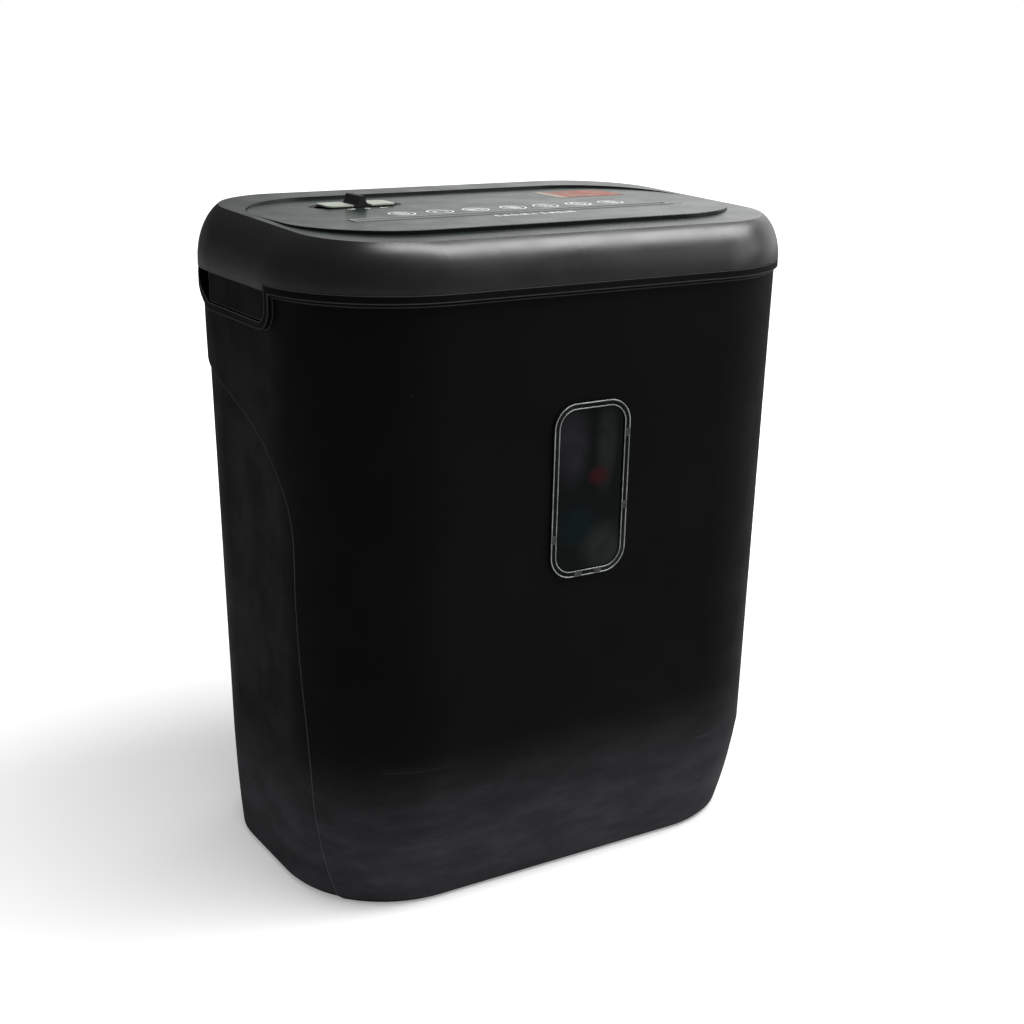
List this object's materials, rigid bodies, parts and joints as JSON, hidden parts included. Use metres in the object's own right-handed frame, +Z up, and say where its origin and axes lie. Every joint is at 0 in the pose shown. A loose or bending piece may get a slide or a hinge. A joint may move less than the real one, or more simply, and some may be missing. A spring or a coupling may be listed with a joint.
{
  "type": "paper shredder",
  "caption": "Desk-side paper shredder: lift-off cutting head with feed slot and slide switch on a rounded waste bin with a sight window.",
  "frame": {"origin": "centre of the footprint at the floor", "axes": "+Z up, front with the window faces -Y, long side along X"},
  "size_m": [0.35, 0.238, 0.4163],
  "materials": {
    "black_plastic": "fine moulded texture",
    "cover_plastic": "satin moulded texture",
    "panel_plastic": "satin panel",
    "dark_plastic": "smooth",
    "light_plastic": "smooth, pale grey-green",
    "feed_plastic": "smooth, light grey",
    "clear_plastic": "smoked clear moulding",
    "lens_plastic": "clear lens",
    "rubber": "moulded",
    "white_nylon": "natural nylon",
    "switch_plastic": "moulded",
    "relay_plastic": "moulded",
    "board_green": "solder mask",
    "steel": "turned",
    "tool_steel": "hardened, oiled",
    "zinc": "zinc plated",
    "cast_zinc": "die cast",
    "bronze": "sintered",
    "motor_steel": "plated can"
  },
  "bodies": {
    "bin": {"bin": "black_plastic", "window": "clear_plastic"},
    "head": {"lower_housing": "black_plastic", "upper_cover": "cover_plastic", "top_plate": "panel_plastic", "indicator_lenses": "lens_plastic", "cord_gland": "rubber", "feed_guide": "feed_plastic", "sensor_pin": "steel", "sensor_switch": "switch_plastic", "switch_tray": "dark_plastic", "mode_switch": "switch_plastic", "front_strippers": "dark_plastic", "rear_strippers": "dark_plastic", "tie_rods": "steel", "tie_rod_nuts": "zinc", "cutter_bushes": "bronze", "left_side_plate": "zinc", "right_side_plate": "zinc", "gear_plate": "zinc", "standoffs": "zinc", "gear_axles": "steel", "frame_screws": "zinc", "case_screws": "zinc", "motor_can": "motor_steel", "motor_stator": "tool_steel", "motor_front_cap": "cast_zinc", "motor_rear_cap": "dark_plastic", "motor_screws": "zinc", "thermal_cutout": "switch_plastic", "control_board": "board_green", "board_screws": "zinc", "relays": "relay_plastic", "suppression_capacitor": "relay_plastic", "board_connectors": "white_nylon", "interlock_bracket": "zinc", "bracket_screws": "zinc", "interlock_switch": "switch_plastic", "interlock_spring": "steel"},
    "front_cutter": {"front_shaft": "steel", "front_cutter_discs": "tool_steel", "front_spacers": "steel", "front_sync_gear": "tool_steel"},
    "rear_cutter": {"rear_shaft": "steel", "rear_cutter_discs": "tool_steel", "rear_spacers": "steel", "rear_sync_gear": "tool_steel", "drive_gear": "tool_steel"},
    "large_idler": {"large_idler": "white_nylon"},
    "small_idler": {"small_idler": "white_nylon"},
    "motor_rotor": {"motor_shaft": "steel", "rotor_core": "tool_steel", "cooling_fan": "white_nylon", "motor_pinion": "bronze"},
    "sensor_lever": {"sensor_lever": "white_nylon"},
    "switch_slider": {"switch_knob": "dark_plastic", "slider_plates": "light_plastic"},
    "interlock_plunger": {"interlock_plunger": "white_nylon"}
  },
  "joints": [
    {"name": "head_lift", "type": "slide", "parent": "bin", "child": "head", "axis": [0, 0, 1], "range_m": [0, 0.16]},
    {"name": "motor_spin", "type": "hinge", "parent": "head", "child": "motor_rotor", "pos_m": [0, 0.05656, 0.3416], "axis": [1, 0, 0], "continuous": true},
    {"name": "small_idler_spin", "type": "hinge", "parent": "head", "child": "small_idler", "pos_m": [0, 0.04972, 0.36039], "axis": [1, 0, 0], "continuous": true},
    {"name": "large_idler_spin", "type": "hinge", "parent": "head", "child": "large_idler", "pos_m": [0, 0.02165, 0.36534], "axis": [1, 0, 0], "continuous": true},
    {"name": "rear_cutter_spin", "type": "hinge", "parent": "head", "child": "rear_cutter", "pos_m": [0, -0.015, 0.352], "axis": [1, 0, 0], "continuous": true},
    {"name": "front_cutter_spin", "type": "hinge", "parent": "head", "child": "front_cutter", "pos_m": [0, -0.043, 0.352], "axis": [1, 0, 0], "continuous": true},
    {"name": "mode_slide", "type": "slide", "parent": "head", "child": "switch_slider", "axis": [1, 0, 0], "range_m": [-0.006, 0.006]},
    {"name": "sensor_tilt", "type": "hinge", "parent": "head", "child": "sensor_lever", "pos_m": [0, -0.016, 0.384], "axis": [1, 0, 0], "range_deg": [0, 20], "stiffness_Nm_per_rad": 0.004, "springref_deg": -11.46},
    {"name": "interlock_travel", "type": "slide", "parent": "head", "child": "interlock_plunger", "axis": [0, 0, -1], "range_m": [0, 0.003], "deforming": ["interlock_spring"]}
  ],
  "couplings": [
    {"joint": "small_idler_spin", "follows": "motor_spin", "ratio": -0.25},
    {"joint": "large_idler_spin", "follows": "motor_spin", "ratio": 0.066667},
    {"joint": "rear_cutter_spin", "follows": "motor_spin", "ratio": -0.02},
    {"joint": "front_cutter_spin", "follows": "motor_spin", "ratio": 0.02},
    {"joint": "interlock_travel", "follows": "head_lift", "ratio": 0.01875}
  ]
}
